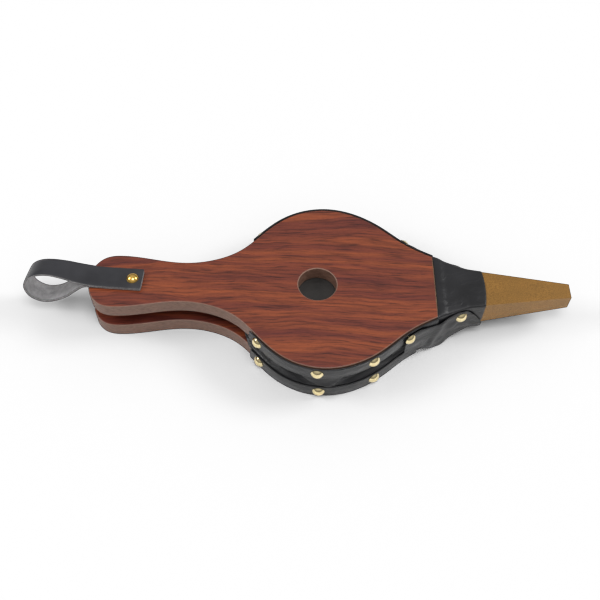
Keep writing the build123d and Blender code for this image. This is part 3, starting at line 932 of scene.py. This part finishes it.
def make_hinge_leather():
    """Two leaves joined by one tight fold round the hinge line."""
    leaf_xs = np.linspace(HINGE_REAR_X, PIVOT_X, HINGE_STEPS)
    section = [(x, PIVOT_Z - HINGE_MIDDLE_R) for x in leaf_xs]
    for k in range(1, HINGE_STEPS):
        angle = math.pi * (k / HINGE_STEPS - 0.5)
        across, up = math.cos(angle), math.sin(angle)
        section.append((PIVOT_X + HINGE_MIDDLE_R * across, PIVOT_Z + HINGE_MIDDLE_R * up))
    section += [(x, PIVOT_Z + HINGE_MIDDLE_R) for x in leaf_xs[::-1]]
    ys = np.linspace(-HINGE_HALF_W, HINGE_HALF_W, HINGE_ACROSS)
    piece, _ = leather_grid("hinge_strip", [[(x, y, z) for y in ys] for x, z in section], HINGE_T, levels=1)
    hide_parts("hinge_leather")
    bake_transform(piece)


make_hinge_leather()


# ---------------------------------------------------------------- wrist strap

STRAP_W = 22.0
STRAP_T = 1.8
RIVET_X = -166.0
STRAP_TURN = math.radians(3.5)
STRAP_ROLL = math.radians(13.0)
STRAP_ROLL_FROM = 40.0
STRAP_ROLL_REACH = 35.0
LOWER_Z = VALVE_TOP + 1.2
UPPER_Z = LOWER_Z + 1.9
# The band's middle in side view as (distance from the rivet, height): out along the board, round a
# drop-shaped loop past its end and back underneath
STRAP_SIDE = [
    (9, UPPER_Z),
    (0, UPPER_Z),
    (-12, UPPER_Z),
    (-24, UPPER_Z),
    (-35, UPPER_Z + 0.4),
    (-48, UPPER_Z + 3.1),
    (-61, UPPER_Z + 7.2),
    (-73, UPPER_Z + 9.2),
    (-84, UPPER_Z + 7.0),
    (-93, UPPER_Z - 0.2),
    (-98, UPPER_Z - 12),
    (-96, UPPER_Z - 25),
    (-87, UPPER_Z - 32.2),
    (-75, UPPER_Z - 30.2),
    (-62, UPPER_Z - 21.2),
    (-52, UPPER_Z - 10.5),
    (-43, LOWER_Z - 0.6),
    (-35, LOWER_Z + 0.4),
    (-24, LOWER_Z),
    (-12, LOWER_Z),
    (0, LOWER_Z),
    (9, LOWER_Z),
]
STRAP_PARTS = 8
STRAP_CUP = 0.25
# The band's section as (share of its width, share of its thickness, which of its three surfaces)
GRAIN, FLESH, CUT = 0, 1, 2
STRAP_SECTION = (
    [(share, 0.5, GRAIN) for share in (-0.47, -0.25, 0, 0.25, 0.47)]
    + [(0.497, 0.36, CUT), (0.5, 0, CUT), (0.497, -0.36, CUT)]
    + [(share, -0.5, FLESH) for share in (0.47, 0.25, 0, -0.25, -0.47)]
    + [(-0.497, -0.36, CUT), (-0.5, 0, CUT), (-0.497, 0.36, CUT)]
)


def strap_line():
    """The strap's middle line in side view: a smooth cubic curve through its points."""
    knots = [np.array([x, 0.0, z]) for x, z in STRAP_SIDE]
    knots = [2 * knots[0] - knots[1]] + knots + [2 * knots[-1] - knots[-2]]
    line = []
    for k in range(1, len(knots) - 2):
        a, b, c, d = knots[k - 1 : k + 3]
        for part in range(STRAP_PARTS):
            t = part / STRAP_PARTS
            square = 2 * a - 5 * b + 4 * c - d
            cube = 3 * b - a - 3 * c + d
            line.append(0.5 * (2 * b + (c - a) * t + square * t**2 + cube * t**3))
    line.append(knots[-2])
    return np.array(line)


def turned(point):
    """A point of the strap's side view, turned about the rivet."""
    x, y, z = point
    cos, sin = math.cos(STRAP_TURN), math.sin(STRAP_TURN)
    return (RIVET_X + x * cos + y * sin, y * cos - x * sin, z)


def make_strap():
    """The folded band, with its grain side out, its flesh side in and raw cut edges."""
    line = strap_line()
    tangent = np.gradient(line, axis=0)
    tangent /= np.linalg.norm(tangent, axis=1)[:, None]
    rings = []
    for point, along in zip(line, tangent):
        loose = smooth_step((-point[0] - STRAP_ROLL_FROM) / STRAP_ROLL_REACH)
        roll = STRAP_ROLL * float(loose)
        across = np.array([0.0, math.cos(roll), -math.sin(roll)])
        across -= along * across.dot(along)
        across /= np.linalg.norm(across)
        up = np.cross(across, along)
        ring = []
        for wide, thick, _ in STRAP_SECTION:
            cup = STRAP_CUP * float(loose) * (1 - (2 * wide) ** 2)
            ring.append(turned(point + across * wide * STRAP_W + up * (thick * STRAP_T + cup)))
        rings.append(ring)
    # A face between two surfaces takes the grain first, then the cut edge
    surfaces = [kind for _, _, kind in STRAP_SECTION]
    ids = []
    for k, kind in enumerate(surfaces):
        following = surfaces[(k + 1) % len(surfaces)]
        ids.append(GRAIN if GRAIN in (kind, following) else max(kind, following))
    piece = loft("strap_band", rings, ring_ids=ids)
    dress(piece, "strap_leather", MATERIALS["strap_leather"], SUEDE, CUT_EDGE)
    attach(piece, "strap")
    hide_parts("wrist_strap")


make_strap()


# ---------------------------------------------------------------- floor, light, camera

FLOOR_SIZE = 6.0
FLOOR_Z = -0.0004
# The room light's strength from the sides and from above, and the height at which it is full
ROOM_SIDE = 0.20
ROOM_TOP = 0.62
ROOM_FULL = 0.9
WHITE = (1.0, 1.0, 1.0)
LIGHT_AIM = Vector((-0.02, 0.0, 0.03))


def make_floor():
    """A pale floor that shows only the shadows that fall on it."""
    bpy.ops.mesh.primitive_plane_add(size=FLOOR_SIZE, location=(0, 0, FLOOR_Z))
    floor = bpy.context.object
    floor.name = "floor"
    floor.is_shadow_catcher = True
    paper = Shader("floor_paper")
    paper.set(Base_Color=(0.92, 0.92, 0.92), Roughness=0.9)
    floor.data.materials.append(paper.material)


def make_room():
    """A room that lights the object from above, less from its sides, and shows as plain white behind it."""
    world = bpy.data.worlds.new("studio")
    bpy.context.scene.world = world
    world.use_nodes = True
    sky = world.node_tree
    backdrop = sky.nodes["Background"]
    feed(sky, backdrop.inputs["Color"], WHITE)
    feed(sky, backdrop.inputs["Strength"], 1.0)
    direction = add_node(sky, "ShaderNodeTexCoord", {}).outputs["Generated"]
    height = add_node(sky, "ShaderNodeSeparateXYZ", {0: direction}).outputs[2]
    inputs = {"Value": height, "From Max": ROOM_FULL, "To Min": ROOM_SIDE, "To Max": ROOM_TOP}
    strength = add_node(sky, "ShaderNodeMapRange", inputs, interpolation_type="SMOOTHSTEP")
    room = add_node(sky, "ShaderNodeBackground", {"Color": WHITE, "Strength": strength.outputs["Result"]})
    seen = add_node(sky, "ShaderNodeLightPath", {}).outputs["Is Camera Ray"]
    choice = add_node(sky, "ShaderNodeMixShader", {0: seen, 1: room.outputs[0], 2: backdrop.outputs[0]})
    feed(sky, sky.nodes["World Output"].inputs["Surface"], choice.outputs[0])


def soft_light(name, place, size, power):
    """A square soft box that faces the object."""
    data = bpy.data.lights.new(name, "AREA")
    data.shape = "SQUARE"
    data.size = size
    data.energy = power
    light = bpy.data.objects.new(name, data)
    light.location = place
    light.rotation_mode = "QUATERNION"
    light.rotation_quaternion = (LIGHT_AIM - Vector(place)).to_track_quat("-Z", "Y")
    bpy.context.scene.collection.objects.link(light)


make_floor()
make_room()
soft_light("front_box", (0.10, -0.45, 1.40), 0.6, 8.0)
soft_light("right_box", (1.15, 0.25, 0.95), 0.5, 8.0)
soft_light("left_box", (-1.15, 0.0, 0.9), 0.5, 6.0)
bpy.context.scene.view_settings.view_transform = "Standard"

# The camera looks down on the valve board from the right side, a little rolled
ELEVATION = math.radians(55.42)
AZIMUTH = math.radians(-0.468)
ROLL = math.radians(1.358)
DISTANCE = 0.7588
LENS = 50.544
SENSOR = 36.0
# How far the air hole's centre lies right of the line of sight and above it, as a share of the distance
HOLE_RIGHT = 0.020774
HOLE_UP = 0.018993


def make_camera():
    """The camera, placed so that the air hole's centre comes where it should in the view."""
    back = Vector(
        (
            math.sin(AZIMUTH) * math.cos(ELEVATION),
            -math.cos(AZIMUTH) * math.cos(ELEVATION),
            math.sin(ELEVATION),
        )
    )
    level_right = (-back).cross(Vector((0, 0, 1))).normalized()
    level_up = level_right.cross(-back)
    right = level_right * math.cos(ROLL) + level_up * math.sin(ROLL)
    up = level_up * math.cos(ROLL) - level_right * math.sin(ROLL)
    hole = Vector((0, 0, VALVE_TOP * MM))
    spot = hole - (right * HOLE_RIGHT + up * HOLE_UP - back) * DISTANCE
    data = bpy.data.cameras.new("camera")
    data.sensor_width = SENSOR
    data.lens = LENS
    camera = bpy.data.objects.new("camera", data)
    turn = Matrix((right, up, back)).transposed()
    camera.matrix_world = Matrix.Translation(spot) @ turn.to_4x4()
    bpy.context.scene.collection.objects.link(camera)
    bpy.context.scene.camera = camera


make_camera()
